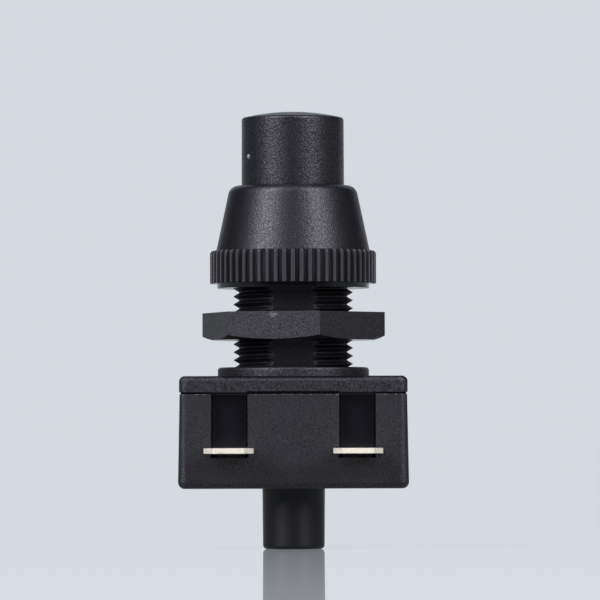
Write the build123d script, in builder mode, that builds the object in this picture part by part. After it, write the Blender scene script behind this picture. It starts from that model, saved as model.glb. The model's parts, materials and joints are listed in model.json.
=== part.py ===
# Panel-mount pushbutton switch that latches on and off, with two tab terminals.
# The origin is where the neck's axis meets the seat of the bezel collar. +Z points to the
# button and the terminals point to -Y. Sizes are in millimetres and angles in degrees.
from build123d import *
import os
from math import radians, sqrt, tan

# Threaded neck that passes through the panel
thread_d = 11.9
thread_depth = 0.56
thread_play = 0.05
neck_flats = 10.1
neck_above_seat = 5.2
neck_wall = 1.41
lead_in = 0.45

# Bezel collar: seat ring, knurled band, cone
seat_ring_h = 0.48
seat_step = 0.69
knurl_h = 3.27
knurl_step = 0.63
knurl_ribs = 60
rib_h = 0.32
rib_foot_w = 0.42
rib_crest_w = 0.24
knurl_edge_r = 0.35
cone_h = 6.5
cone_angle = 12.0
rim_w = 0.96
rim_r = 1.0
cap_gap = 0.2

# Hexagon nut behind the panel
panel_gap = 2.43
nut_flats = 16.25
nut_h = 2.75
nut_turn = 16.3
nut_face_d = 16.1
nut_chamfer_angle = 17.0
nut_to_flange = 2.72

# Lid with its flange
flange_d = 15.1
flange_h = 0.9
flange_edge_r = 0.3
lid_h = 1.5
lid_edge_r = 0.55
body_corner_r = 0.8
parting_gap = 0.3
parting_line = 0.2
parting_inset = 0.9
lip_h = 1.6
lip_t = 1.0
lip_fit = 0.1
tongue_recess = 1.0

# Base with its stub
base_h = 9.3
base_draft = 1.1
base_inset = 0.05
base_edge_r = 0.65
wall = 1.4
floor_t = 1.4
stub_d = 6.24
stub_l = 6.1
stub_draft = 0.45
stub_edge_r = 0.4
stub_floor_t = 1.0
side_room = 1.3

# Tab terminals and their slots
tab_x = 6.3
tab_w = 4.8
tab_t = 0.5
tab_l = 7.5
tab_chamfer = 0.92
tab_hole_d = 1.6
tab_hole_from_end = 3.3
tab_below_rim = 5.3
slot_w = 3.6
slot_play = 0.1
slot_relief = 0.45
foot_w = 4.4
foot_back = 3.2
foot_seat_w = 3.0

# Contacts
contact_d = 2.4
contact_h = 0.5
contact_edge = 0.15
rivet_d = 1.3
rivet_tail_d = 1.8
rivet_tail_h = 0.25
rivet_fit = 0.02
bridge_w = 3.8
bridge_waist = 2.8
bridge_t = 0.4
bridge_end = 1.5
contact_kiss = 0.03

# Plunger, its strokes and its springs
travel = 2.8
overtravel = 1.3
stroke_clear = 0.3
slide_fit = 0.08
stop_gap = 0.03
stop_ledge = 1.0
stud_d = 4.0
stud_l = 5.8
stud_fit = 0.02
foot_clear = 0.5
window_play = 0.1
tail_d = 2.6
return_wire_d = 0.34
return_turns = 9
return_play = 0.15
contact_wire_d = 0.3
contact_coil_r = 1.35
contact_turns = 5
contact_spring_l = 4.0
pocket_play = 0.2

# Cap of the button
cap_d = 10.25
cap_draft = 0.025
cap_proud = 6.77
cap_dome = 0.61
cap_edge_r = 0.3
cap_wall = 1.0
cap_roof = 1.3
boss_wall = 1.1
socket_depth_play = 0.4
gate_turn = 59.0
gate_below_rim = 3.95
gate_r = 0.35
gate_h = 0.12

# Latch: heart cam on the plunger, rocking wire and its leaf spring
latch_space = 1.7
latch_wire_d = 0.5
latch_bend_r = 0.45
latch_throw = 1.0
latch_leg = 3.2
latch_gap = 0.15
pin_play = 0.11
cam_depth = 0.9
cam_floor = 0.43
cam_notch_r = 0.32
pivot_depth = 0.9
pivot_fit = 0.06
leaf_t = 0.2
leaf_w = 2.8
leaf_below_lip = 0.11
leaf_above_pivot = 0.75
leaf_sink = 0.4
leaf_play = 0.1

# Radii that follow from the fits
neck_root_r = thread_d / 2 - thread_depth
thread_bore_r = neck_root_r + thread_play
neck_bore_r = neck_root_r - neck_wall
stem_r = neck_bore_r - slide_fit
cap_r = cap_d / 2
cap_bore_r = cap_r + cap_gap
cone_top_r = cap_bore_r + rim_w
cone_base_r = cone_top_r + cone_h * tan(radians(cone_angle))
knurl_r = cone_base_r + knurl_step
knurl_root_r = knurl_r - rib_h
seat_r = knurl_r - seat_step

# Plan of the body
carrier_w = 2 * (tab_x - foot_w / 2 - foot_clear)
carrier_d = 2 * (stem_r + stop_ledge)
cavity_w = 2 * (tab_x + foot_w / 2 + side_room)
cavity_d = carrier_d + 2 * latch_space
base_w = cavity_w + 2 * wall
base_d = cavity_d + 2 * wall
lid_w = base_w + 2 * base_inset
lid_d = base_d + 2 * base_inset
base_spread = base_h * tan(radians(base_draft))
front_y = -base_d / 2 - base_spread
tongue_t = wall - tongue_recess + lip_fit + lip_t

# Levels, from the button down to the stub
knurl_top_z = seat_ring_h + knurl_h
collar_top_z = knurl_top_z + cone_h
cap_rim_z = collar_top_z + cap_proud
cap_bottom_z = neck_above_seat + travel + stroke_clear
nut_bottom_z = -panel_gap - nut_h
flange_top_z = nut_bottom_z - nut_to_flange
lid_top_z = flange_top_z - flange_h
lid_under_z = lid_top_z - lid_h
base_top_z = lid_under_z - parting_gap
base_bottom_z = base_top_z - base_h
floor_z = base_bottom_z + floor_t
stub_bottom_z = base_bottom_z - stub_l
stub_floor_z = stub_bottom_z + stub_floor_t
tab_top_z = base_top_z - tab_below_rim
tab_bottom_z = tab_top_z - tab_t

# Levels of the mechanism with the button up
bridge_travel = travel - overtravel
carrier_top_z = base_top_z - stop_gap
carrier_bottom_z = floor_z + travel + stroke_clear
bridge_bottom_z = tab_top_z + 2 * contact_h + contact_kiss + bridge_travel
bridge_top_z = bridge_bottom_z + bridge_t
window_top_z = bridge_top_z + overtravel + stroke_clear
contact_seat_z = bridge_top_z + contact_spring_l
stud_foot_z = cap_bottom_z + stroke_clear
tail_bottom_z = stub_floor_z + travel + stroke_clear
return_coil_r = tail_d / 2 + return_play + return_wire_d / 2
spring_bore_r = return_coil_r + return_wire_d / 2 + return_play

# Path of the latch wire's hook in the heart cam, from its rest
cam_half = latch_wire_d / 2 + pin_play
hook_z = carrier_bottom_z + cam_floor + cam_half
pivot_z = hook_z - latch_leg
hook_rise = travel - (latch_leg - sqrt(latch_leg**2 - latch_throw**2))
latch_y = carrier_d / 2 + latch_gap + latch_wire_d / 2
hook_tip_y = carrier_d / 2 - cam_depth + latch_gap
leaf_top_z = base_top_z - lip_h - leaf_below_lip
leaf_foot_z = pivot_z + latch_wire_d / 2 + leaf_above_pivot
leaf_mid_z = (leaf_top_z + leaf_foot_z) / 2

sides = {"left": -1, "right": 1}
os.makedirs("parts", exist_ok=True)


def coil_spring(low_z, high_z, coil_r, wire_d, turns):
    """Compression spring on the neck's axis, standing between two levels."""
    rise = high_z - low_z - wire_d
    with BuildPart() as spring:
        with BuildLine() as coil:
            Helix(pitch=rise / turns, height=rise, radius=coil_r, center=(0, 0, low_z + wire_d / 2))
        with BuildSketch(Plane(origin=coil.line @ 0, z_dir=coil.line % 0)):
            Circle(wire_d / 2)
        sweep(path=coil.line, is_frenet=True)
    return spring.part


def contact_rivet(x, face_z, plate_t, up):
    """Silver contact: its head stands on face_z and its tail is spread behind the plate."""
    heights = [contact_h, contact_h - contact_edge, 0, -plate_t, -plate_t - rivet_tail_h]
    head, edge, face, back, tail = [face_z + up * height for height in heights]
    with BuildPart() as rivet:
        with BuildSketch(Plane.XZ):
            with BuildLine():
                Polyline(
                    (x, head),
                    (x + contact_d / 2 - contact_edge, head),
                    (x + contact_d / 2, edge),
                    (x + contact_d / 2, face),
                    (x + rivet_d / 2, face),
                    (x + rivet_d / 2, back),
                    (x + rivet_tail_d / 2, back),
                    (x + rivet_tail_d / 2, tail),
                    (x, tail),
                    close=True,
                )
            make_face()
        revolve(axis=Axis((x, 0, 0), (0, 0, 1)))
    return rivet.part


# Upper housing: lid, flange and threaded neck, moulded as one piece
with BuildPart() as upper_housing:
    with BuildSketch(Plane.XY.offset(lid_under_z)):
        RectangleRounded(lid_w, lid_d, body_corner_r)
    extrude(amount=lid_h)
    fillet(upper_housing.faces().sort_by(Axis.Z)[-1].edges(), lid_edge_r)
    with BuildSketch(Plane.XY.offset(lid_top_z)):
        Circle(flange_d / 2)
    extrude(amount=flange_h)
    fillet(upper_housing.faces().sort_by(Axis.Z)[-1].edges(), flange_edge_r)
    with BuildSketch(Plane.XY.offset(flange_top_z)):
        Circle(neck_root_r)
    extrude(amount=neck_above_seat - flange_top_z)
    chamfer(upper_housing.faces().sort_by(Axis.Z)[-1].edges(), lead_in)
    # Moulding flats at the front and the back of the neck
    with BuildSketch(Plane.XY.offset(flange_top_z)):
        with GridLocations(0, neck_flats + thread_d, 1, 2):
            Rectangle(thread_d, thread_d)
    extrude(amount=neck_above_seat - flange_top_z, mode=Mode.SUBTRACT)
    # Step that rests on the base's rim, set in behind the parting groove
    with BuildSketch(Plane.XY.offset(base_top_z)):
        Rectangle(lid_w - 2 * parting_inset, lid_d - 2 * parting_inset)
    extrude(amount=parting_gap)
    # Rim that narrows the groove to a line, cut away between the slots and opposite them
    with BuildSketch(Plane.XY.offset(base_top_z + parting_line)):
        RectangleRounded(lid_w, lid_d, body_corner_r)
        with GridLocations(0, lid_d, 1, 2):
            Rectangle(2 * tab_x - slot_w, 2 * parting_inset, mode=Mode.SUBTRACT)
    extrude(amount=parting_gap - parting_line)
    # Lip inside the base's walls
    with BuildSketch(Plane.XY.offset(base_top_z)):
        Rectangle(cavity_w - 2 * lip_fit, cavity_d - 2 * lip_fit)
        Rectangle(cavity_w - 2 * (lip_fit + lip_t), cavity_d - 2 * (lip_fit + lip_t), mode=Mode.SUBTRACT)
    extrude(amount=-lip_h)
    # Tongues that close the base's slots and hold the terminals down
    with BuildSketch(Plane.XY.offset(base_top_z)):
        with GridLocations(2 * tab_x, 0, 2, 1):
            with Locations((0, tongue_recess - base_d / 2)):
                Rectangle(slot_w - 2 * slot_play, tongue_t, align=(Align.CENTER, Align.MIN))
    extrude(amount=-tab_below_rim)
    with Locations((0, 0, neck_above_seat)):
        Hole(neck_bore_r)
upper_housing.part.label = "upper_housing"
export_step(upper_housing.part, "parts/upper_housing.step")

# Base housing: drafted box with the stub that houses the return spring
with BuildPart() as base_housing:
    with BuildSketch(Plane.XY.offset(base_bottom_z)):
        RectangleRounded(base_w + 2 * base_spread, base_d + 2 * base_spread, body_corner_r)
    extrude(amount=base_h, taper=base_draft)
    fillet(base_housing.faces().sort_by(Axis.Z)[0].edges(), base_edge_r)
    with BuildSketch(Plane.XY.offset(base_bottom_z)):
        Circle(stub_d / 2)
    extrude(amount=-stub_l, taper=stub_draft)
    fillet(base_housing.faces().sort_by(Axis.Z)[0].edges(), stub_edge_r)
    with BuildSketch(Plane.XY.offset(floor_z)):
        Rectangle(cavity_w, cavity_d)
    extrude(amount=base_top_z - floor_z, mode=Mode.SUBTRACT)
    # Seats that carry the terminals' feet, with room for the rivets' tails
    with BuildSketch(Plane.XY.offset(floor_z)):
        with GridLocations(2 * tab_x, 0, 2, 1):
            with Locations((0, (foot_back - cavity_d / 2) / 2)):
                Rectangle(foot_seat_w, foot_back + cavity_d / 2)
    extrude(amount=tab_bottom_z - floor_z)
    with GridLocations(2 * tab_x, 0, 2, 1):
        with Locations((0, 0, tab_bottom_z)):
            Hole(rivet_tail_d / 2 + slot_play, depth=rivet_tail_h + stroke_clear)
    # Slots in the front wall, open to the rim
    with BuildSketch(Plane.XZ.offset(cavity_d / 2)):
        with GridLocations(2 * tab_x, 0, 2, 1):
            with Locations((0, base_top_z)):
                Rectangle(slot_w, 2 * (tab_below_rim + tab_t + slot_relief))
    extrude(amount=2 * wall, mode=Mode.SUBTRACT)
    # Bore for the return spring, and the latch's pivot hole and leaf pocket in the back wall
    with BuildSketch(Plane.XY.offset(floor_z)):
        Circle(spring_bore_r)
    extrude(amount=stub_floor_z - floor_z, mode=Mode.SUBTRACT)
    with BuildSketch(Plane.XZ.offset(-cavity_d / 2)):
        with Locations((0, pivot_z)):
            Circle(latch_wire_d / 2 + pivot_fit)
    extrude(amount=-pivot_depth, mode=Mode.SUBTRACT)
    with BuildSketch(Plane.XZ.offset(-cavity_d / 2)):
        with Locations((0, leaf_mid_z)):
            Rectangle(leaf_w + 2 * leaf_play, leaf_top_z - leaf_foot_z + 2 * leaf_play)
    extrude(amount=-leaf_sink, mode=Mode.SUBTRACT)
base_housing.part.label = "base_housing"
export_step(base_housing.part, "parts/base_housing.step")

# Terminals: flat tabs that drop into the slots, held by shoulders on both sides of the wall
for side, sign in sides.items():
    with BuildPart() as terminal:
        tab_end_y = front_y - slot_play - tab_l
        shoulder_y = -cavity_d / 2 + slot_play
        with BuildSketch(Plane.XY.offset(tab_bottom_z)):
            with Locations((sign * tab_x, tab_end_y + tab_l / 2)):
                Rectangle(tab_w, tab_l)
            chamfer(vertices().group_by(Axis.Y)[0], tab_chamfer)
            with Locations((sign * tab_x, (tab_end_y + tab_l + shoulder_y) / 2)):
                Rectangle(slot_w - 2 * slot_play, shoulder_y - tab_end_y - tab_l)
            with Locations((sign * tab_x, (shoulder_y + foot_back) / 2)):
                Rectangle(foot_w, foot_back - shoulder_y)
            with Locations((sign * tab_x, tab_end_y + tab_hole_from_end)):
                Circle(tab_hole_d / 2, mode=Mode.SUBTRACT)
            with Locations((sign * tab_x, 0)):
                Circle(rivet_d / 2 + rivet_fit, mode=Mode.SUBTRACT)
        extrude(amount=tab_t)
    terminal.part.label = f"terminal_{side}"
    export_step(terminal.part, f"parts/terminal_{side}.step")

# Contact bridge: copper strip with a waist that slides in the plunger's window
with BuildPart() as contact_bridge:
    with BuildSketch(Plane.XY.offset(bridge_bottom_z)):
        Rectangle(2 * (tab_x + bridge_end), bridge_w)
        with GridLocations(0, bridge_w + bridge_waist, 1, 2):
            Rectangle(carrier_w + 2 * foot_clear, bridge_w, mode=Mode.SUBTRACT)
        with GridLocations(2 * tab_x, 0, 2, 1):
            Circle(rivet_d / 2 + rivet_fit, mode=Mode.SUBTRACT)
    extrude(amount=bridge_t)
contact_bridge.part.label = "contact_bridge"
export_step(contact_bridge.part, "parts/contact_bridge.step")

for side, sign in sides.items():
    fixed_contact = contact_rivet(sign * tab_x, tab_top_z, tab_t, 1)
    fixed_contact.label = f"fixed_contact_{side}"
    export_step(fixed_contact, f"parts/fixed_contact_{side}.step")
    moving_contact = contact_rivet(sign * tab_x, bridge_bottom_z, bridge_t, -1)
    moving_contact.label = f"moving_contact_{side}"
    export_step(moving_contact, f"parts/moving_contact_{side}.step")

# Plunger: stem in the neck, carrier with the bridge's window and the heart cam, spring tail
with BuildPart() as plunger:
    with BuildSketch(Plane.XY.offset(carrier_bottom_z)):
        Rectangle(carrier_w, carrier_d)
    extrude(amount=carrier_top_z - carrier_bottom_z)
    with BuildSketch(Plane.XY.offset(carrier_top_z)):
        Circle(stem_r)
    extrude(amount=stud_foot_z - carrier_top_z)
    with BuildSketch(Plane.XY.offset(stud_foot_z)):
        Circle(stud_d / 2)
    extrude(amount=stud_l)
    chamfer(plunger.faces().sort_by(Axis.Z)[-1].edges(), lead_in)
    with BuildSketch(Plane.XY.offset(carrier_bottom_z)):
        Circle(tail_d / 2)
    extrude(amount=tail_bottom_z - carrier_bottom_z)
    chamfer(plunger.faces().sort_by(Axis.Z)[0].edges(), lead_in)
    # Window right across the carrier, and the contact spring's pocket above it
    with BuildSketch(Plane.YZ):
        with Locations((0, (bridge_bottom_z + window_top_z) / 2)):
            Rectangle(bridge_waist + 2 * window_play, window_top_z - bridge_bottom_z)
    extrude(amount=carrier_w, both=True, mode=Mode.SUBTRACT)
    with BuildSketch(Plane.XY.offset(bridge_bottom_z)):
        Circle(contact_coil_r + contact_wire_d / 2 + pocket_play)
    extrude(amount=contact_seat_z - bridge_bottom_z, mode=Mode.SUBTRACT)
    # Heart cam: a track round a notched island, cut into the back of the carrier
    with BuildSketch(Plane.XZ.offset(-carrier_d / 2)):
        with Locations((0, hook_z), (-latch_throw, hook_z + hook_rise), (latch_throw, hook_z + hook_rise)):
            Circle(cam_half)
        make_hull()
        with BuildSketch(mode=Mode.PRIVATE) as island:
            with BuildLine():
                Polyline(
                    (0, hook_z),
                    (-latch_throw, hook_z + hook_rise),
                    (latch_throw, hook_z + hook_rise),
                    close=True,
                )
            make_face()
            offset(amount=-cam_half, kind=Kind.INTERSECTION, mode=Mode.REPLACE)
            with Locations((0, hook_z + hook_rise - cam_half)):
                Circle(cam_notch_r, mode=Mode.SUBTRACT)
        add(island.sketch, mode=Mode.SUBTRACT)
    extrude(amount=cam_depth, mode=Mode.SUBTRACT)
plunger.part.label = "plunger"
export_step(plunger.part, "parts/plunger.step")

return_spring = coil_spring(stub_floor_z, carrier_bottom_z, return_coil_r, return_wire_d, return_turns)
return_spring.label = "return_spring"
export_step(return_spring, "parts/return_spring.step")

contact_spring = coil_spring(bridge_top_z, contact_seat_z, contact_coil_r, contact_wire_d, contact_turns)
contact_spring.label = "contact_spring"
export_step(contact_spring, "parts/contact_spring.step")

# Latch wire: hook in the cam, leg behind the carrier, pivot in the back wall
with BuildPart() as latch_wire:
    with BuildLine(Plane.YZ) as wire_path:
        FilletPolyline(
            (hook_tip_y, hook_z),
            (latch_y, hook_z),
            (latch_y, pivot_z),
            (cavity_d / 2 + pivot_depth - latch_gap, pivot_z),
            radius=latch_bend_r,
        )
    with BuildSketch(Plane(origin=wire_path.line @ 0, z_dir=wire_path.line % 0)):
        Circle(latch_wire_d / 2)
    sweep(path=wire_path.line)
latch_wire.part.label = "latch_wire"
export_step(latch_wire.part, "parts/latch_wire.step")

# Leaf spring: a bowed strip in its pocket that keeps the wire's hook in the cam
with BuildPart() as latch_leaf:
    leaf_end_y = cavity_d / 2 + leaf_sink - leaf_t
    leaf_bow_y = latch_y + latch_wire_d / 2 + stop_gap
    with BuildSketch(Plane.YZ.offset(-leaf_w / 2)):
        with BuildLine():
            front = ThreePointArc(
                (leaf_end_y, leaf_foot_z), (leaf_bow_y, leaf_mid_z), (leaf_end_y, leaf_top_z)
            )
            back = ThreePointArc(
                (leaf_end_y + leaf_t, leaf_foot_z),
                (leaf_bow_y + leaf_t, leaf_mid_z),
                (leaf_end_y + leaf_t, leaf_top_z),
            )
            Line(front @ 0, back @ 0)
            Line(front @ 1, back @ 1)
        make_face()
    extrude(amount=leaf_w)
latch_leaf.part.label = "latch_leaf"
export_step(latch_leaf.part, "parts/latch_leaf.step")

# Bezel collar: knurl ribs trimmed round at the top, then the turned cone with its bores
with BuildPart() as bezel_collar:
    rib_root_w = 2 * rib_foot_w - rib_crest_w
    with BuildSketch(Plane.XY.offset(seat_ring_h)):
        # Each rib runs on below the root circle by its own height
        with PolarLocations(knurl_root_r - rib_h, knurl_ribs):
            Polygon(
                (0, -rib_root_w / 2),
                (2 * rib_h, -rib_crest_w / 2),
                (2 * rib_h, rib_crest_w / 2),
                (0, rib_root_w / 2),
                align=None,
            )
    extrude(amount=knurl_h)
    with BuildSketch(Plane.XZ):
        with Locations((0, seat_ring_h)):
            Rectangle(knurl_r, knurl_h, align=(Align.MIN, Align.MIN))
        fillet(vertices().group_by(Axis.Y)[-1].sort_by(Axis.X)[-1], knurl_edge_r)
    revolve(axis=Axis.Z, mode=Mode.INTERSECT)
    with BuildSketch(Plane.XZ):
        with BuildLine():
            Polyline(
                (thread_bore_r, 0),
                (seat_r, 0),
                (seat_r, seat_ring_h),
                (knurl_root_r, seat_ring_h),
                (knurl_root_r, knurl_top_z),
                (cone_base_r, knurl_top_z),
                (cone_top_r, collar_top_z),
                (cap_bore_r, collar_top_z),
                (cap_bore_r, neck_above_seat + stop_gap),
                (thread_bore_r, neck_above_seat + stop_gap),
                close=True,
            )
        make_face()
        fillet(vertices().group_by(Axis.Y)[-1].sort_by(Axis.X)[-1], rim_r)
    revolve(axis=Axis.Z)
bezel_collar.part.label = "bezel_collar"
export_step(bezel_collar.part, "parts/bezel_collar.step")

# Hexagon nut: flat face towards the panel, turned chamfer on the other
with BuildPart() as hex_nut:
    with BuildSketch(Plane.XY.offset(nut_bottom_z)):
        RegularPolygon(nut_flats / 2, 6, major_radius=False, rotation=nut_turn - 90)
        Circle(thread_bore_r, mode=Mode.SUBTRACT)
    extrude(amount=nut_h)
    with BuildSketch(Plane.XZ):
        with BuildLine():
            Polyline(
                (nut_face_d / 2, nut_bottom_z),
                (nut_flats, nut_bottom_z),
                (nut_flats, nut_bottom_z + (nut_flats - nut_face_d / 2) * tan(radians(nut_chamfer_angle))),
                close=True,
            )
        make_face()
    revolve(axis=Axis.Z, mode=Mode.SUBTRACT)
    chamfer(hex_nut.edges().filter_by(GeomType.CIRCLE).sort_by(SortBy.RADIUS)[:2], lead_in)
hex_nut.part.label = "hex_nut"
export_step(hex_nut.part, "parts/hex_nut.step")

# Cap: domed hollow cap whose socket is pressed on the plunger's stud
with BuildPart() as push_cap:
    cap_top_r = cap_r - cap_draft
    roof_z = cap_rim_z - cap_roof
    socket_r = stud_d / 2 + stud_fit
    with BuildSketch(Plane.XZ):
        with BuildLine():
            dome = TangentArc((0, cap_rim_z + cap_dome), (cap_top_r, cap_rim_z), tangent=(1, 0))
            Polyline(
                dome @ 1,
                (cap_r, cap_bottom_z),
                (cap_r - cap_wall, cap_bottom_z),
                (cap_r - cap_wall, roof_z),
                (socket_r + boss_wall, roof_z),
                (socket_r + boss_wall, stud_foot_z),
                (socket_r, stud_foot_z),
                (socket_r, stud_foot_z + stud_l + socket_depth_play),
                (0, stud_foot_z + stud_l + socket_depth_play),
                dome @ 0,
            )
        make_face()
        fillet(vertices().sort_by_distance((cap_top_r, cap_rim_z))[0], cap_edge_r)
    revolve(axis=Axis.Z)
    # Small pip left by the mould's gate
    with Locations(Location((0, 0, cap_rim_z - gate_below_rim), (0, 0, -90 - gate_turn))):
        with Locations((cap_r + gate_h - gate_r, 0, 0)):
            Sphere(gate_r)
push_cap.part.label = "push_cap"
export_step(push_cap.part, "parts/push_cap.step")
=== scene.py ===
import json
import math

import bmesh
import bpy
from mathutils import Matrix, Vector


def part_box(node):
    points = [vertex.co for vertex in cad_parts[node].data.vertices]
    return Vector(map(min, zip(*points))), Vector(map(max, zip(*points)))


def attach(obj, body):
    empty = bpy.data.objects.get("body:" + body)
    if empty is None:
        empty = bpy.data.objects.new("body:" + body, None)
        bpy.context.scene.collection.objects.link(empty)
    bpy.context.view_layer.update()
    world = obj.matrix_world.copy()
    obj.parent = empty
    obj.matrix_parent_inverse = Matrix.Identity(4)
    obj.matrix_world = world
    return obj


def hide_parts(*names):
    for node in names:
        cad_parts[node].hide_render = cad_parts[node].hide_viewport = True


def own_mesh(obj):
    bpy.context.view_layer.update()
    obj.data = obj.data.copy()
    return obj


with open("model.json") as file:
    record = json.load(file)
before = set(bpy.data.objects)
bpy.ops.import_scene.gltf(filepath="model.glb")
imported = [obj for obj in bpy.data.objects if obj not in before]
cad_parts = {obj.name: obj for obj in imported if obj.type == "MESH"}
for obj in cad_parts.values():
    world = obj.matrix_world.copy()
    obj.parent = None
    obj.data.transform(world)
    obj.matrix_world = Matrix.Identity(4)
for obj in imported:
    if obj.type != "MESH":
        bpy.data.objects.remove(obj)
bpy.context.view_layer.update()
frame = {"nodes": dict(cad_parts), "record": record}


# Base housing: a drafted box with a round stub, moulded in black glass-filled nylon. The mould
# was spark-eroded, so the box is matt with a fine grain, and small paler specks show on it,
# partly the ends of glass fibres and partly painted glints. Nicks in the rim show as paler
# specks too. The stub is smoother.
MM = 0.001
NYLON_BLACK, NYLON_CLOUD, FIBRE_GLINT_GREY = "#08080d", "#101016", "#35353f"
NYLON_IOR, CLOUD_MM, EDGE_MM, POLISHED_GLOSS = 1.53, 2.5, 0.06, 0.38
GRAIN_LOW, GRAIN_HIGH, FIBRE_GLINT_LOW, FIBRE_GLINT_HIGH, ROUGHNESS_SWING = 0.3, 0.7, 0.66, 0.8, 0.06
# The real grain is a few hundredths of a millimetre wide, and is drawn wider so that it shows.
BASE_GRAIN_MM, BASE_RELIEF_MM, BASE_PITS, BASE_ROUGHNESS = 0.16, 0.04, 0.45, 0.48
STUB_MM, STUB_ROUGHNESS = 6.1, 0.46
NICK_GREY, NICK_MM, NICK_LOW, NICK_HIGH, NICKED_RIM_MM = "#707076", 0.13, 0.46, 0.54, 0.3


def linear(hex_colour):
    """Linear RGBA of an sRGB hex colour."""
    srgb = [int(hex_colour[i:i + 2], 16) / 255 for i in (1, 3, 5)]
    return [c / 12.92 if c <= 0.04045 else ((c + 0.055) / 1.055) ** 2.4 for c in srgb] + [1]


def add(tree, kind, sockets, **settings):
    """Adds a node with its settings, and fills its sockets with values or with links."""
    node = tree.nodes.new("ShaderNode" + kind)
    for name, value in settings.items():
        setattr(node, name, value)
    for name, value in sockets.items():
        if isinstance(value, bpy.types.NodeSocket):
            tree.links.new(value, node.inputs[name])
        else:
            node.inputs[name].default_value = value
    return node


def new_material(name):
    """An empty material and its node tree."""
    material = bpy.data.materials.new(name)
    material.use_nodes = True
    material.node_tree.nodes.clear()
    return material, material.node_tree


def place_on_piece(tree):
    """The place on the piece, in millimetres, so that patterns have their real sizes."""
    metres = add(tree, "TexCoord", {}).outputs["Object"]
    return add(tree, "VectorMath", {0: metres, "Scale": 1 / MM}, operation="SCALE").outputs[0]


def surface(tree, sockets):
    """Ends a material's tree with its surface shader."""
    shader = add(tree, "BsdfPrincipled", sockets)
    add(tree, "OutputMaterial", {"Surface": shader.outputs[0]})
    return shader


def mark(shader, socket, mask, value):
    """Marks or wears a finish, by a value over what feeds one of its sockets where the mask is 1."""
    tree = shader.id_data
    under = shader.inputs[socket].links[0].from_socket
    if socket == "Base Color":
        over = add(tree, "Mix", {0: mask, 6: under, 7: value}, data_type="RGBA").outputs[2]
    else:
        over = add(tree, "Mix", {0: mask, 2: under, 3: value}).outputs[0]
    tree.links.new(over, shader.inputs[socket])


def nylon(
    name, grain_mm, relief_mm, pits, roughness, polished, low_mm, high_mm, gloss=0.5, edge_mm=EDGE_MM
):
    """Black nylon, eroded between two heights and polished, without pits and specks, elsewhere."""
    material, tree = new_material(name)
    place = place_on_piece(tree)
    grain = add(tree, "TexNoise", {"Vector": place, "Scale": 1 / grain_mm, "Detail": 2.0}).outputs[0]
    cloud = add(tree, "TexNoise", {"Vector": place, "Scale": 1 / CLOUD_MM, "Detail": 4.0}).outputs[0]
    height = add(tree, "SeparateXYZ", {0: place}).outputs["Z"]
    middle, reach = (low_mm + high_mm) / 2, (high_mm - low_mm) / 2
    eroded = add(tree, "Math", {0: height, 1: middle, 2: reach}, operation="COMPARE").outputs[0]
    shades = {6: linear(NYLON_BLACK), 7: linear(NYLON_CLOUD)}
    tone = add(tree, "Mix", {0: cloud, **shades}, data_type="RGBA").outputs[2]
    # Paler specks on the grain's peaks: partly glass-fibre ends, partly painted glints.
    fibre_glint = add(tree, "MapRange", {0: grain, 1: FIBRE_GLINT_LOW, 2: FIBRE_GLINT_HIGH, 4: eroded}).outputs[0]
    tone = add(tree, "Mix", {0: fibre_glint, 6: tone, 7: linear(FIBRE_GLINT_GREY)}, data_type="RGBA").outputs[2]
    peaks = {0: grain, 1: GRAIN_LOW, 2: GRAIN_HIGH}
    rougher, smoother = roughness + ROUGHNESS_SWING, roughness - ROUGHNESS_SWING
    matt = add(tree, "MapRange", {**peaks, 3: rougher, 4: smoother}).outputs[0]
    rough = add(tree, "Mix", {0: eroded, 2: polished, 3: matt}).outputs[0]
    duller, brighter = (1 - pits) * gloss, (1 + pits) * gloss
    pitted = add(tree, "MapRange", {**peaks, 3: duller, 4: brighter}).outputs[0]
    shine = add(tree, "Mix", {0: eroded, 2: POLISHED_GLOSS, 3: pitted}).outputs[0]
    edge = add(tree, "Bevel", {"Radius": edge_mm * MM}).outputs[0]
    relief = {"Height": grain, "Strength": eroded, "Distance": relief_mm * MM, "Normal": edge}
    bump = add(tree, "Bump", relief).outputs[0]
    finish = {"Base Color": tone, "Roughness": rough, "Normal": bump, "Specular IOR Level": shine}
    shader = surface(tree, {**finish, "IOR": NYLON_IOR})
    return material, tree, place, shader


def dress(nodes, material):
    """Gives CAD nodes their material."""
    for node in nodes:
        for slot in frame["nodes"][node].material_slots:
            slot.material = material


base_low, base_high = (corner.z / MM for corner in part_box("base_housing"))
base_nylon, tree, place, shader = nylon(
    "eroded_black_nylon", BASE_GRAIN_MM, BASE_RELIEF_MM, BASE_PITS, BASE_ROUGHNESS, STUB_ROUGHNESS,
    base_low + STUB_MM, base_high,
)
height = add(tree, "SeparateXYZ", {0: place}).outputs["Z"]
rim = add(tree, "MapRange", {0: height, 1: base_high - NICKED_RIM_MM, 2: base_high}).outputs[0]
nick = add(tree, "TexNoise", {"Vector": place, "Scale": 1 / NICK_MM, "Detail": 2.0}).outputs[0]
nicked = add(tree, "Math", {0: nick, 1: rim}, operation="MULTIPLY").outputs[0]
nicked = add(tree, "MapRange", {0: nicked, 1: NICK_LOW, 2: NICK_HIGH}).outputs[0]
mark(shader, "Base Color", nicked, linear(NICK_GREY))
dress(["base_housing"], base_nylon)
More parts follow.
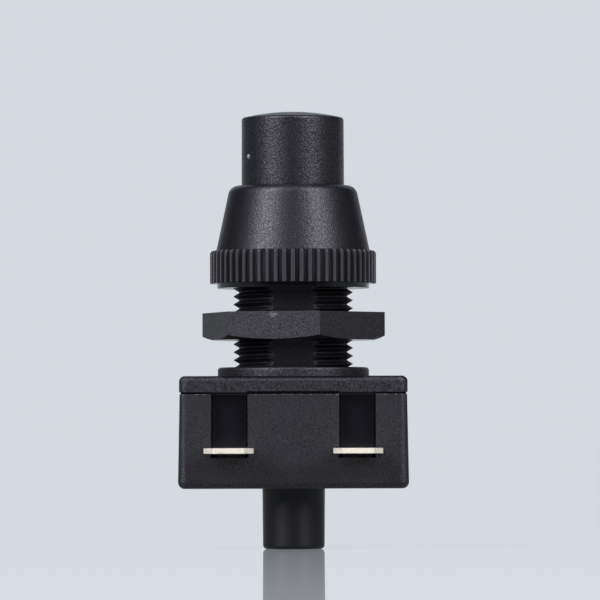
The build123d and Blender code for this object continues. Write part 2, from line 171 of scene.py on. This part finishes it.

# Upper housing: lid, flange and neck in the same nylon, welded on the base. The lid and its
# flange have the eroded grain, and a band of painted shade dulls the lid's edge under the
# flange, where the flange and the nut shade it. The neck, the lid's underside and the tongues
# in the terminal slots are smooth, so they look darker.
LID_GRAIN_MM, LID_RELIEF_MM, LID_PITS, LID_ROUGHNESS = 0.17, 0.046, 0.7, 0.5
PARTING_MM, SMOOTH_ROUGHNESS = 0.22, 0.2
FLANGE_MM, SHADE_HALF_MM, SHADE_MM, SHADE_GLOSS, TOP_CLEAR_MM = 0.9, 6.9, 0.34, 0.08, 0.01
neck = next(mount for mount in frame["record"]["mounts"] if mount["name"] == "panel_neck")
flange_top = -neck["dims"]["length_mm"]
lid_top = flange_top - FLANGE_MM
lid_nylon, tree, place, shader = nylon(
    "lid_black_nylon", LID_GRAIN_MM, LID_RELIEF_MM, LID_PITS, LID_ROUGHNESS, SMOOTH_ROUGHNESS,
    base_high + PARTING_MM, flange_top,
)
# Painted shade: a band along the lid's top edge, under the flange, has its gloss lowered.
at = add(tree, "SeparateXYZ", {0: place}).outputs
edge_low, edge_high = lid_top - SHADE_MM, lid_top - SHADE_MM / 2
edge = add(tree, "MapRange", {0: at["Z"], 1: edge_low, 2: edge_high}).outputs[0]
below = add(tree, "Math", {0: at["Z"], 1: lid_top - TOP_CLEAR_MM}, operation="LESS_THAN").outputs[0]
middle = add(tree, "Math", {0: at["X"], 1: 0, 2: SHADE_HALF_MM}, operation="COMPARE").outputs[0]
painted_shade = add(tree, "Math", {0: edge, 1: below}, operation="MULTIPLY").outputs[0]
painted_shade = add(tree, "Math", {0: painted_shade, 1: middle}, operation="MULTIPLY").outputs[0]
mark(shader, "Specular IOR Level", painted_shade, SHADE_GLOSS)
dress(["upper_housing"], lid_nylon)

# Weld beads: the lid's own nylon, squeezed into the parting groove at both ends when the lid
# was welded on the base. They end in a rounded lip, just inside the groove's mouth.
GROOVE_MM, GROOVE_DEEP_MM, BEAD_SET_IN_MM = 0.2, 0.9, 0.12
LIP_R_MM, LIP_STEPS, LIP_ROUND, BEAD_CREASE_DEG = 0.08, 3, 0.5, 50
NEAR_MM = 1e-4


def new_piece(name, mesh, crease_deg):
    """A smooth-shaded object from a mesh, with creases where its faces meet at an angle."""
    for face in mesh.faces:
        face.smooth = True
    for edge in mesh.edges:
        edge.smooth = edge.calc_face_angle(0) < math.radians(crease_deg)
    data = bpy.data.meshes.new(name)
    mesh.to_mesh(data)
    mesh.free()
    piece = bpy.data.objects.new(name, data)
    bpy.context.scene.collection.objects.link(piece)
    return piece


lid_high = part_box("upper_housing")[1] / MM
bead_size = (GROOVE_DEEP_MM - BEAD_SET_IN_MM, 2 * (lid_high.y - GROOVE_DEEP_MM), GROOVE_MM)
mesh = bmesh.new()
for side in (-1, 1):
    lip_x = side * (lid_high.x - BEAD_SET_IN_MM)
    centre = Vector((lip_x - side * bead_size[0] / 2, 0, base_high + GROOVE_MM / 2))
    bead = bmesh.ops.create_cube(mesh, size=MM)["verts"]
    bmesh.ops.scale(mesh, vec=bead_size, verts=bead)
    bmesh.ops.translate(mesh, vec=centre * MM, verts=bead)
    lip = [e for e in mesh.edges if all(abs(v.co.x / MM - lip_x) < NEAR_MM for v in e.verts)]
    bmesh.ops.bevel(
        mesh, geom=lip, offset=LIP_R_MM * MM, segments=LIP_STEPS, profile=LIP_ROUND, affect="EDGES"
    )
beads = new_piece("weld_beads", mesh, BEAD_CREASE_DEG)
beads.data.materials.append(lid_nylon)
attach(beads, "housing")

# Thread on the neck: a single right-hand start of 32 turns to the inch, moulded with the neck
# in two halves, so that a flat cuts it at the front and the back. The sliding halves of the
# mould left it dull, and it takes up grease and dust, so it is the blackest of all.
NECK_GRAIN_MM, NECK_RELIEF_MM, NECK_PITS, NECK_ROUGHNESS, NECK_GLOSS = 0.15, 0.03, 0.2, 0.5, 0.3
THREAD_PITCH_MM, THREAD_DEPTH_MM = 25.4 / 32, 0.55
CREST_SHARE, FLANK_SHARE = 0.07, 0.4
THREAD_STEPS, THREAD_CREASE_DEG, SPARE_TURNS = 192, 15, 2
NECK_FLATS_MM, LEFT_CREST_Z_MM, SLEEVE_MM, LEAD_IN_MM = 10.12, -0.81, 0.6, 0.5


def threaded_sleeve(name, crest_r, low_z, high_z):
    """A closed sleeve with the thread outside, in millimetres, set round the neck's wall."""
    root_r = crest_r - THREAD_DEPTH_MM
    crest = [(0, crest_r), (CREST_SHARE, crest_r)]
    root = [(CREST_SHARE + FLANK_SHARE, root_r), (1 - FLANK_SHARE, root_r)]
    first_z = LEFT_CREST_Z_MM - THREAD_PITCH_MM * (0.5 + CREST_SHARE / 2)
    first_turn = math.floor((low_z - first_z) / THREAD_PITCH_MM) - SPARE_TURNS
    turns = math.ceil((high_z - low_z) / THREAD_PITCH_MM) + 2 * SPARE_TURNS
    mesh = bmesh.new()
    columns = []
    for step in range(THREAD_STEPS):
        angle = 2 * math.pi * step / THREAD_STEPS
        column = []
        for turn in range(first_turn, first_turn + turns):
            for share, radius in crest + root:
                y = radius * math.sin(angle)
                y = max(-NECK_FLATS_MM / 2, min(NECK_FLATS_MM / 2, y))
                z = first_z + (turn + share + step / THREAD_STEPS) * THREAD_PITCH_MM
                column.append(mesh.verts.new((radius * math.cos(angle), y, z)))
        columns.append(column)
    columns.append(columns[0][len(crest + root):])
    for left, right in zip(columns, columns[1:]):
        for row in range(min(len(left), len(right)) - 1):
            mesh.faces.new((left[row], right[row], right[row + 1], left[row + 1]))
    for level, up in ((low_z, -1), (high_z, 1)):
        everything = mesh.verts[:] + mesh.edges[:] + mesh.faces[:]
        bmesh.ops.bisect_plane(
            mesh, geom=everything, plane_co=(0, 0, level), plane_no=(0, 0, up), clear_outer=True
        )
    rings = []
    for level in (low_z, high_z):
        ends = [e for e in mesh.edges if e.is_boundary]
        ends = [e for e in ends if all(abs(v.co.z - level) < NEAR_MM for v in e.verts)]
        inner = bmesh.ops.extrude_edge_only(mesh, edges=ends)["geom"]
        for vertex in (g for g in inner if isinstance(g, bmesh.types.BMVert)):
            vertex.co.xy = vertex.co.xy.normalized() * (root_r - SLEEVE_MM)
        rings += [g for g in inner if isinstance(g, bmesh.types.BMEdge) and g.is_boundary]
    bmesh.ops.bridge_loops(mesh, edges=rings)
    bmesh.ops.recalc_face_normals(mesh, faces=mesh.faces)
    bmesh.ops.scale(mesh, vec=(MM, MM, MM), verts=mesh.verts)
    return new_piece(name, mesh, THREAD_CREASE_DEG)


neck_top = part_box("upper_housing")[1].z / MM
thread = threaded_sleeve("neck_thread", neck["dims"]["r_mm"], flange_top, neck_top - LEAD_IN_MM)
neck_nylon = nylon(
    "dull_black_nylon", NECK_GRAIN_MM, NECK_RELIEF_MM, NECK_PITS, NECK_ROUGHNESS, NECK_ROUGHNESS,
    flange_top, neck_top, NECK_GLOSS,
)[0]
thread.data.materials.append(neck_nylon)
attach(thread, "housing")

# Terminals: tabs stamped from brass strip and tin-plated. The tin is pale and a little dull,
# with greyer patches from handling, and slightly warm where the shears left it thin.
TIN_PALE, TIN_DULL, TIN_PATCH_MM, DULL_LOW, DULL_HIGH = "#f1eedb", "#c9c4b2", 0.9, 0.45, 0.8
TIN_WARM, THIN_MM, THIN_LOW, THIN_HIGH, THIN_MOST = "#dac79d", 0.35, 0.62, 0.75, 0.6
TIN_SMOOTH, TIN_ROUGH, SMOOTH_LOW, ROUGH_HIGH = 0.6, 0.75, 0.3, 0.7
TIN_EDGE_MM, TIN_RELIEF_MM, TIN_RELIEF = 0.1, 0.01, 0.6
tin, tree = new_material("tin_plated_brass")
place = place_on_piece(tree)
patch = add(tree, "TexNoise", {"Vector": place, "Scale": 1 / TIN_PATCH_MM, "Detail": 4.0}).outputs[0]
dull = add(tree, "MapRange", {0: patch, 1: DULL_LOW, 2: DULL_HIGH}).outputs[0]
shades = {6: linear(TIN_PALE), 7: linear(TIN_DULL)}
tone = add(tree, "Mix", {0: dull, **shades}, data_type="RGBA").outputs[2]
stain = add(tree, "TexNoise", {"Vector": place, "Scale": 1 / THIN_MM, "Detail": 2.0}).outputs[0]
thin = add(tree, "MapRange", {0: stain, 1: THIN_LOW, 2: THIN_HIGH, 4: THIN_MOST}).outputs[0]
tone = add(tree, "Mix", {0: thin, 6: tone, 7: linear(TIN_WARM)}, data_type="RGBA").outputs[2]
spread = {0: patch, 1: SMOOTH_LOW, 2: ROUGH_HIGH}
rough = add(tree, "MapRange", {**spread, 3: TIN_SMOOTH, 4: TIN_ROUGH}).outputs[0]
edge = add(tree, "Bevel", {"Radius": TIN_EDGE_MM * MM}).outputs[0]
relief = {"Height": stain, "Strength": TIN_RELIEF, "Distance": TIN_RELIEF_MM * MM, "Normal": edge}
bump = add(tree, "Bump", relief).outputs[0]
surface(tree, {"Base Color": tone, "Metallic": 1.0, "Roughness": rough, "Normal": bump})
dress(["terminal_left", "terminal_right"], tin)

# Contacts: silver rivets, headed cold through the terminals' feet and the bridge. Silver
# tarnishes to a faint yellow-grey bloom.
SILVER, BLOOM, BLOOM_MM, BLOOM_LOW, BLOOM_HIGH = "#e6e4df", "#b3a98f", 0.6, 0.45, 0.75
SILVER_SMOOTH, SILVER_ROUGH = 0.2, 0.4


def bare_metal(name, patch_mm, detail, bright, dull, smooth, rough, low=0.0, high=1.0):
    """Bare metal whose colour and roughness drift in soft patches."""
    material, tree = new_material(name)
    spread = {"Vector": place_on_piece(tree), "Scale": 1 / patch_mm, "Detail": detail}
    patch = add(tree, "TexNoise", spread).outputs[0]
    share = add(tree, "MapRange", {0: patch, 1: low, 2: high}).outputs[0]
    shades = {6: linear(bright), 7: linear(dull)}
    tone = add(tree, "Mix", {0: share, **shades}, data_type="RGBA").outputs[2]
    roughness = add(tree, "MapRange", {0: patch, 3: smooth, 4: rough}).outputs[0]
    surface(tree, {"Base Color": tone, "Metallic": 1.0, "Roughness": roughness})
    return material


silver = bare_metal(
    "contact_silver", BLOOM_MM, 4.0, SILVER, BLOOM, SILVER_SMOOTH, SILVER_ROUGH, BLOOM_LOW, BLOOM_HIGH
)
for side in ("left", "right"):
    dress([f"fixed_contact_{side}", f"moving_contact_{side}"], silver)

# Contact bridge: a strip stamped from rolled copper, with brown patches where it has oxidised.
# The rolling lines run along its length, and are drawn wider than real ones so that they show.
COPPER, OXIDE, OXIDE_MM, OXIDE_LOW, OXIDE_HIGH = "#8f5a42", "#4c3126", 1.5, 0.5, 0.75
ROLLED_MM, ROLLED_STRETCH, ROLLED_RELIEF_MM, ROLLED_RELIEF = 0.12, 0.08, 0.004, 0.5
COPPER_SMOOTH, COPPER_ROUGH = 0.25, 0.45
copper, tree = new_material("rolled_copper")
place = place_on_piece(tree)
patch = add(tree, "TexNoise", {"Vector": place, "Scale": 1 / OXIDE_MM, "Detail": 4.0}).outputs[0]
brown = add(tree, "MapRange", {0: patch, 1: OXIDE_LOW, 2: OXIDE_HIGH}).outputs[0]
shades = {6: linear(COPPER), 7: linear(OXIDE)}
tone = add(tree, "Mix", {0: brown, **shades}, data_type="RGBA").outputs[2]
along = add(tree, "Mapping", {0: place, "Scale": (ROLLED_STRETCH, 1, 1)}).outputs[0]
lines = add(tree, "TexNoise", {"Vector": along, "Scale": 1 / ROLLED_MM, "Detail": 2.0}).outputs[0]
rough = add(tree, "MapRange", {0: lines, 3: COPPER_SMOOTH, 4: COPPER_ROUGH}).outputs[0]
relief = {"Height": lines, "Strength": ROLLED_RELIEF, "Distance": ROLLED_RELIEF_MM * MM}
bump = add(tree, "Bump", relief).outputs[0]
surface(tree, {"Base Color": tone, "Metallic": 1.0, "Roughness": rough, "Normal": bump})
dress(["contact_bridge"], copper)

# Plunger: moulded in natural acetal, which is milky white and waxy, and faintly greyed where
# it slides. It stands on the return spring, with its stem up through the neck.
ACETAL, ACETAL_GREY, ACETAL_PATCH_MM, ACETAL_IOR = "#ebe9e2", "#cfccc2", 2.0, 1.48
ACETAL_SMOOTH, ACETAL_ROUGH, ACETAL_MILK, ACETAL_DEPTH_MM = 0.3, 0.42, 0.2, 0.8
acetal, tree = new_material("natural_acetal")
spread = {"Vector": place_on_piece(tree), "Scale": 1 / ACETAL_PATCH_MM, "Detail": 4.0}
patch = add(tree, "TexNoise", spread).outputs[0]
shades = {6: linear(ACETAL), 7: linear(ACETAL_GREY)}
tone = add(tree, "Mix", {0: patch, **shades}, data_type="RGBA").outputs[2]
rough = add(tree, "MapRange", {0: patch, 3: ACETAL_SMOOTH, 4: ACETAL_ROUGH}).outputs[0]
milk = {"Subsurface Weight": ACETAL_MILK, "Subsurface Scale": ACETAL_DEPTH_MM * MM}
surface(tree, {"Base Color": tone, "Roughness": rough, "IOR": ACETAL_IOR, **milk})
dress(["plunger"], acetal)

# Springs: coiled from bright drawn steel wire, with closed end turns. The return spring stands
# in the stub under the plunger, and the contact spring hangs from the plunger on the bridge.
WIRE_GREY, WIRE_DARK, WIRE_PATCH_MM, WIRE_SMOOTH, WIRE_ROUGH = "#b4b5b8", "#77787c", 0.3, 0.22, 0.36
WIRE_SIDES, WIRE_CREASE_DEG, TURN_STEPS, CLOSED_TURNS = 12, 45, 40, 1.0
RETURN_WIRE_MM, RETURN_TURNS = 0.34, 11
CONTACT_WIRE_MM, CONTACT_TURNS = 0.3, 6.5
spring_wire = bare_metal(
    "drawn_spring_steel", WIRE_PATCH_MM, 3.0, WIRE_GREY, WIRE_DARK, WIRE_SMOOTH, WIRE_ROUGH
)


def coil_spring(node, wire_mm, turns):
    """A spring with closed end turns in the place of a CAD spring of the same wire."""
    low, high = (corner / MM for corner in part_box(node))
    wire_r = wire_mm / 2
    coil_r = high.x - wire_r
    rise = (high.z - low.z - wire_mm - 2 * CLOSED_TURNS * wire_mm) / (turns - 2 * CLOSED_TURNS)
    mesh = bmesh.new()
    rings = []
    for step in range(round(turns * TURN_STEPS) + 1):
        turn = step / TURN_STEPS
        closed = min(turn, CLOSED_TURNS) + max(0, turn - (turns - CLOSED_TURNS))
        z = low.z + wire_r + closed * wire_mm + (turn - closed) * rise
        angle = 2 * math.pi * turn
        outward = Vector((math.cos(angle), math.sin(angle), 0))
        ring = []
        for side in range(WIRE_SIDES):
            swing = 2 * math.pi * side / WIRE_SIDES
            point = outward * (coil_r + wire_r * math.cos(swing))
            point_z = z + wire_r * math.sin(swing)
            ring.append(mesh.verts.new((point.x * MM, point.y * MM, point_z * MM)))
        rings.append(ring)
    for near, far in zip(rings, rings[1:]):
        for side in range(WIRE_SIDES):
            after = (side + 1) % WIRE_SIDES
            mesh.faces.new((near[side], near[after], far[after], far[side]))
    mesh.faces.new(rings[0])
    mesh.faces.new(rings[-1][::-1])
    bmesh.ops.recalc_face_normals(mesh, faces=mesh.faces)
    spring = new_piece(node + "_coil", mesh, WIRE_CREASE_DEG)
    spring.data.materials.append(spring_wire)
    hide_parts(node)
    return spring


return_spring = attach(coil_spring("return_spring", RETURN_WIRE_MM, RETURN_TURNS), "housing")
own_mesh(return_spring)
contact_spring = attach(coil_spring("contact_spring", CONTACT_WIRE_MM, CONTACT_TURNS), "button")
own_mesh(contact_spring)

# Latch: a wire of the same steel, bent to a hook at one end and a pivot at the other, and a
# bowed leaf of phosphor bronze that holds its hook in the plunger's heart cam.
BRONZE, BRONZE_BROWN, BRONZE_PATCH_MM = "#c39a63", "#8a6238", 0.7
BRONZE_SMOOTH, BRONZE_ROUGH = 0.25, 0.4
dress(["latch_wire"], spring_wire)
bronze = bare_metal(
    "phosphor_bronze_strip", BRONZE_PATCH_MM, 4.0, BRONZE, BRONZE_BROWN, BRONZE_SMOOTH, BRONZE_ROUGH
)
dress(["latch_leaf"], bronze)

# Button cap: black nylon pressed on the plunger, with a grain a little finer and shallower than
# the lid's. The pip at its side, where the gate was broken off, is painted pale, partly as
# stress whitening and partly as a painted highlight.
CAP_GRAIN_MM, CAP_RELIEF_MM, CAP_PITS, CAP_ROUGHNESS = 0.15, 0.04, 0.65, 0.4
GATE_GREY, GATE_MM, GATE_PLACE_MM = "#8c8c8f", (0.34, 0.34, 0.34), (-4.45, -2.68, 13.07)
PIP_LOW, PIP_HIGH = 0.1, 0.5


def spot(tree, place, centre_mm, size_mm):
    """A mask that is 1 at a place on the piece and fades to 0 at the spot's edge."""
    spread = {0: place, "Location": centre_mm, "Scale": size_mm}
    here = add(tree, "Mapping", spread, vector_type="TEXTURE").outputs[0]
    return add(tree, "TexGradient", {0: here}, gradient_type="SPHERICAL").outputs[1]


cap_low, cap_high = (corner.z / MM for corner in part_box("push_cap"))
cap_nylon, tree, place, shader = nylon(
    "fine_grained_black_nylon", CAP_GRAIN_MM, CAP_RELIEF_MM, CAP_PITS, CAP_ROUGHNESS, CAP_ROUGHNESS,
    cap_low, cap_high,
)
# Painted highlight on the gate pip, partly stress whitening.
gate = spot(tree, place, GATE_PLACE_MM, GATE_MM)
pip_whitened_and_highlit = add(tree, "MapRange", {0: gate, 1: PIP_LOW, 2: PIP_HIGH}).outputs[0]
mark(shader, "Base Color", pip_whitened_and_highlit, linear(GATE_GREY))
dress(["push_cap"], cap_nylon)

# Hexagon nut: black nylon, run up the thread behind the panel. Its flats are grained and its
# underside is smooth. A tool has scuffed the top edge of the front flat.
NUT_GRAIN_MM, NUT_RELIEF_MM, NUT_PITS, NUT_ROUGHNESS = 0.14, 0.035, 0.6, 0.47
NUT_GLOSS, UNDERSIDE_MM, SEAT_ROUGHNESS = 0.57, 0.02, 0.14
SCUFF_GREY, SCUFF_MM, SCUFF_PLACE_MM = "#6a6a6e", (1.6, 1.6, 1.0), (-1.95, -8.0, -2.75)
SCRATCH_MM, SCUFF_LOW, SCUFF_HIGH = 0.1, 0.36, 0.5
nut_low, nut_high = (corner.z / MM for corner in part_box("hex_nut"))
nut_nylon, tree, place, shader = nylon(
    "scuffed_black_nylon", NUT_GRAIN_MM, NUT_RELIEF_MM, NUT_PITS, NUT_ROUGHNESS, SEAT_ROUGHNESS,
    nut_low + UNDERSIDE_MM, nut_high + UNDERSIDE_MM, NUT_GLOSS,
)
scuff = spot(tree, place, SCUFF_PLACE_MM, SCUFF_MM)
scratch = add(tree, "TexNoise", {"Vector": place, "Scale": 1 / SCRATCH_MM, "Detail": 3.0}).outputs[0]
worn = add(tree, "Math", {0: scuff, 1: scratch}, operation="MULTIPLY").outputs[0]
worn = add(tree, "MapRange", {0: worn, 1: SCUFF_LOW, 2: SCUFF_HIGH}).outputs[0]
mark(shader, "Base Color", worn, linear(SCUFF_GREY))
dress(["hex_nut"], nut_nylon)

# Bezel collar: black nylon, screwed down on the neck in front of the panel. The cone has a
# fine grain, and the seat under its knurl is smooth. The knurl is rough, its grooves are
# dulled as painted shade, and its ribs are worn a little paler by rubbing and are dusty, which
# also leaves the grooves darker as painted shade.
COLLAR_GRAIN_MM, COLLAR_RELIEF_MM, COLLAR_PITS, COLLAR_ROUGHNESS = 0.15, 0.031, 0.36, 0.42
KNURL_MID_MM, KNURL_HALF_MM, KNURL_ROUGHNESS, KNURL_EDGE_MM = 2.12, 1.6, 0.55, 0.07
RUBBED_GREY, GROOVE_SHADE_R_MM, CREST_R_MM = "#19181c", 8.0, 8.22
GROOVE_SHADE_GLOSS, CREST_GLOSS, KNURL_DUST = 0.12, 0.4, 0.5
collar_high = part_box("bezel_collar")[1].z / MM
collar_nylon, tree, place, shader = nylon(
    "handled_black_nylon", COLLAR_GRAIN_MM, COLLAR_RELIEF_MM, COLLAR_PITS, COLLAR_ROUGHNESS,
    SEAT_ROUGHNESS, KNURL_MID_MM - KNURL_HALF_MM, collar_high + UNDERSIDE_MM, edge_mm=KNURL_EDGE_MM,
)
height = add(tree, "SeparateXYZ", {0: place}).outputs["Z"]
band = {0: height, 1: KNURL_MID_MM, 2: KNURL_HALF_MM}
knurl = add(tree, "Math", band, operation="COMPARE").outputs[0]
level = add(tree, "VectorMath", {0: place, 1: (1, 1, 0)}, operation="MULTIPLY").outputs[0]
radius = add(tree, "VectorMath", {0: level}, operation="LENGTH").outputs["Value"]
# Painted shade by radius: 0 in the knurl's grooves, which are dulled and stay darker, 1 on its ribs.
crest_rubbed_groove_shaded = add(tree, "MapRange", {0: radius, 1: GROOVE_SHADE_R_MM, 2: CREST_R_MM}).outputs[0]
worn = add(tree, "Math", {0: crest_rubbed_groove_shaded, 1: knurl}, operation="MULTIPLY").outputs[0]
painted_shade = add(tree, "MapRange", {0: crest_rubbed_groove_shaded, 3: GROOVE_SHADE_GLOSS, 4: CREST_GLOSS}).outputs[0]
dust = add(tree, "Math", {0: worn, 1: KNURL_DUST}, operation="MULTIPLY").outputs[0]
mark(shader, "Base Color", worn, linear(RUBBED_GREY))
mark(shader, "Roughness", knurl, KNURL_ROUGHNESS)
mark(shader, "Specular IOR Level", knurl, painted_shade)
tree.links.new(dust, shader.inputs["Sheen Weight"])
dress(["bezel_collar"], collar_nylon)

# Stage: the switch stands on its stub on a pale acrylic sheet, before a plain pale backdrop.
# Seen at a low angle, the acrylic mirrors most of what stands on it, and from above it is matt.
# It is clear from below, so that the switch's underside can be seen through it.
STAGE_GREY, ACRYLIC_IOR, ACRYLIC_HAZE, ACRYLIC_GLOW = "#d4dadf", 1.14, 0.012, 1.03
FLOOR_HALF_M, BACKDROP_HALF_M, BACKDROP_TOP_M = 4.0, 2.4, 4.0
FLOOR_GAP_MM, FLOOR_MIRROR, GLOW_SHARE = 0.01, 0.5, 0.8
STEEP_FRESNEL, LOW_FRESNEL = 0.13, 0.82
MIRROR_WHITE = "#ffffff"


def pale_strength(tree, full, mirrored):
    """Strength of a pale surround that is seen, and in part mirrored, but lights nothing."""
    ray = add(tree, "LightPath", {}).outputs
    direct = {0: ray["Is Camera Ray"], 1: ray["Is Transmission Ray"]}
    seen = add(tree, "Math", direct, operation="ADD").outputs[0]
    glossy = {0: ray["Is Glossy Ray"], 1: mirrored, 2: seen}
    seen = add(tree, "Math", glossy, operation="MULTIPLY_ADD").outputs[0]
    return add(tree, "Math", {0: seen, 1: full}, operation="MULTIPLY").outputs[0]


def stage_sheet(name, corners, material):
    """A flat sheet of the stage."""
    mesh = bpy.data.meshes.new(name)
    mesh.from_pydata(corners, [], [(0, 1, 2, 3)])
    mesh.materials.append(material)
    sheet = bpy.data.objects.new(name, mesh)
    bpy.context.scene.collection.objects.link(sheet)


acrylic, tree = new_material("pale_acrylic_sheet")
matt = add(tree, "BsdfDiffuse", {"Color": linear(STAGE_GREY)}).outputs[0]
seen = pale_strength(tree, ACRYLIC_GLOW, FLOOR_MIRROR)
glow = add(tree, "Emission", {"Color": linear(STAGE_GREY), "Strength": seen}).outputs[0]
lit = add(tree, "MixShader", {0: GLOW_SHARE, 1: matt, 2: glow}).outputs[0]
polish = {"Color": linear(MIRROR_WHITE), "Roughness": ACRYLIC_HAZE}
shine = add(tree, "BsdfGlossy", polish, distribution="MULTI_GGX").outputs[0]
slant = add(tree, "Fresnel", {"IOR": ACRYLIC_IOR}).outputs[0]
grazing = add(tree, "MapRange", {0: slant, 1: STEEP_FRESNEL, 2: LOW_FRESNEL}).outputs[0]
mirror = add(tree, "Math", {0: slant, 1: grazing}, operation="MULTIPLY").outputs[0]
face = add(tree, "MixShader", {0: mirror, 1: lit, 2: shine}).outputs[0]
clear = add(tree, "BsdfTransparent", {}).outputs[0]
below = add(tree, "NewGeometry", {}).outputs["Backfacing"]
sheet = add(tree, "MixShader", {0: below, 1: face, 2: clear}).outputs[0]
add(tree, "OutputMaterial", {"Surface": sheet})
far, floor_z = FLOOR_HALF_M, (base_low - FLOOR_GAP_MM) * MM
front = [(-far, -far, floor_z), (far, -far, floor_z)]
back = [(far, far, floor_z), (-far, far, floor_z)]
stage_sheet("acrylic_floor", front + back, acrylic)

paper, tree = new_material("pale_backdrop_paper")
glow = add(tree, "Emission", {"Color": linear(STAGE_GREY)}).outputs[0]
add(tree, "OutputMaterial", {"Surface": glow})
wide, top = BACKDROP_HALF_M, BACKDROP_TOP_M
foot = [(-wide, far, floor_z), (wide, far, floor_z)]
head = [(wide, far, top), (-wide, far, top)]
stage_sheet("paper_backdrop", foot + head, paper)

# Light: two cool soft boxes in front, left and right, in a room that is dim but for the pale
# walls that the camera sees, and the foot of the walls, which the floor mirrors at a low angle.
# Towards the front, behind the camera, the foot of the walls is dim too.
LAMP_WHITE, BOX_DISTANCE_M, BOX_SIZE_M, BOX_ELEVATION = "#f5f2ff", 0.9, (0.3, 0.9), 36
LEFT_AZIMUTH, LEFT_WATTS, RIGHT_AZIMUTH, RIGHT_WATTS = -47, 10.4, 45, 8.7
WALL_MIRROR, FOOT_MIRROR, FOOT_RISE, FRONT_DIM, FRONT_PALE = 0.03, 0.95, 0.07, -0.7, -0.4
world = bpy.data.worlds.new("pale_room")
world.use_nodes = True
tree = world.node_tree
toward = add(tree, "SeparateXYZ", {0: add(tree, "TexCoord", {}).outputs["Generated"]}).outputs
round_room = {0: toward["Y"], 1: FRONT_DIM, 2: FRONT_PALE, 3: WALL_MIRROR, 4: FOOT_MIRROR}
foot = add(tree, "MapRange", round_room).outputs[0]
up_wall = {0: toward["Z"], 1: 0.0, 2: FOOT_RISE, 3: foot, 4: WALL_MIRROR}
mirrored = add(tree, "MapRange", up_wall).outputs[0]
tree.links.new(pale_strength(tree, 1.0, mirrored), tree.nodes["Background"].inputs["Strength"])
tree.nodes["Background"].inputs["Color"].default_value = linear(STAGE_GREY)
bpy.context.scene.world = world


def soft_box(name, azimuth, watts):
    """A soft box that points at the switch; azimuth 0 is at the camera, positive to its right."""
    light = bpy.data.lights.new(name, "AREA")
    light.shape, light.energy = "RECTANGLE", watts
    light.size, light.size_y = BOX_SIZE_M
    light.color = linear(LAMP_WHITE)[:3]
    lamp = bpy.data.objects.new(name, light)
    az, el = math.radians(azimuth), math.radians(BOX_ELEVATION)
    aside, ahead = math.sin(az) * math.cos(el), -math.cos(az) * math.cos(el)
    lamp.location = BOX_DISTANCE_M * Vector((aside, ahead, math.sin(el)))
    lamp.rotation_euler = lamp.location.to_track_quat("Z", "Y").to_euler()
    bpy.context.scene.collection.objects.link(lamp)


soft_box("left_soft_box", LEFT_AZIMUTH, LEFT_WATTS)
soft_box("right_soft_box", RIGHT_AZIMUTH, RIGHT_WATTS)

# Camera: level with the body, half a metre in front, with a long lens tilted up a little.
# The neck's axis is at AXIS_PX from the left of the picture and eye level at EYE_PX from its top.
SENSOR_MM, IMAGE_PX, NEAR_CLIP_M, FAR_CLIP_M = 36.0, 600, 0.01, 20
DISTANCE_MM, EYE_Z_MM, PX_PER_MM = 500, -13.15, 10.01
AXIS_PX, EYE_PX, ROLL_DEG = 293.5, 420, 0.17
view = bpy.data.cameras.new("camera")
view.sensor_width = SENSOR_MM
view.lens = SENSOR_MM * PX_PER_MM * DISTANCE_MM / IMAGE_PX
view.clip_start, view.clip_end = NEAR_CLIP_M, FAR_CLIP_M
camera = bpy.data.objects.new("camera", view)
aside_mm = (IMAGE_PX / 2 - AXIS_PX) / PX_PER_MM
camera.location = (aside_mm * MM, -DISTANCE_MM * MM, EYE_Z_MM * MM)
tilt = math.atan((EYE_PX - IMAGE_PX / 2) / (PX_PER_MM * DISTANCE_MM))
camera.rotation_euler = (math.pi / 2 + tilt, math.radians(ROLL_DEG), 0)
bpy.context.scene.collection.objects.link(camera)
bpy.context.scene.camera = camera
bpy.context.scene.view_settings.view_transform = "Standard"
